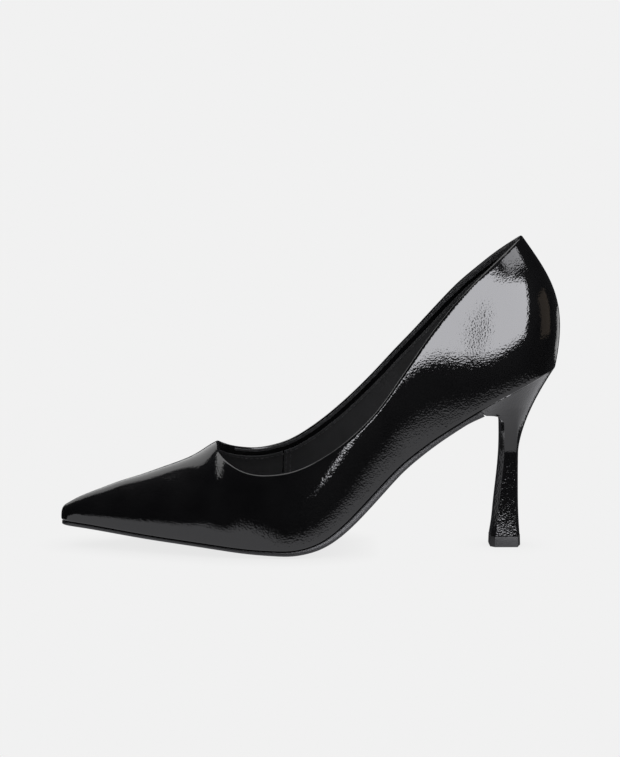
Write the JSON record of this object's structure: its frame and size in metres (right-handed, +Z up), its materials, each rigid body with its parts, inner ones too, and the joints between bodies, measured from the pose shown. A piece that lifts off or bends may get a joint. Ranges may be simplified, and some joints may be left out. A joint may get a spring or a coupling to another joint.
{
  "type": "high heel pump",
  "caption": "Pointed-toe court shoe in black patent leather on a slim high heel, left foot, lined, with insock, steel shank, wrapped heel and replaceable heel tip.",
  "frame": {"origin": "on the ground, under the middle of the bounding box, with the shoe standing on its tread and its heel tip", "axes": "+X from the toe tip to the heel, +Y towards the inner side of the foot, +Z up"},
  "size_m": [0.2438, 0.0736, 0.1523],
  "materials": {
    "patent_leather": "high gloss",
    "lining_leather": "matte",
    "suede": "napped",
    "reinforcing_tape": "matte",
    "stiffener_board": "matte",
    "insole_board": "matte",
    "cork_filler": "matte",
    "latex_foam": "matte",
    "spring_steel": "brushed",
    "outsole_resin": "satin",
    "heel_abs": "moulded",
    "tip_polyurethane": "matte"
  },
  "bodies": {
    "root": {"upper": "patent_leather", "heel_cover": "patent_leather", "vamp_lining": "lining_leather", "quarter_lining_outer": "lining_leather", "quarter_lining_inner": "lining_leather", "insock": "lining_leather", "heel_grip": "suede", "topline_tape": "reinforcing_tape", "back_seam_tape": "reinforcing_tape", "toe_puff": "stiffener_board", "heel_counter": "stiffener_board", "insole_board": "insole_board", "shank_board": "insole_board", "bottom_filler": "cork_filler", "forepart_foam": "latex_foam", "heel_pad": "latex_foam", "steel_shank": "spring_steel", "shank_rivet_front": "spring_steel", "shank_rivet_rear": "spring_steel", "heel_screw": "spring_steel", "heel_nail_1": "spring_steel", "heel_nail_2": "spring_steel", "heel_nail_3": "spring_steel", "heel_nail_4": "spring_steel", "heel_dowel": "spring_steel", "top_piece_pin": "spring_steel", "outsole": "outsole_resin", "heel_block": "heel_abs", "top_piece": "tip_polyurethane"}
  },
  "joints": []
}
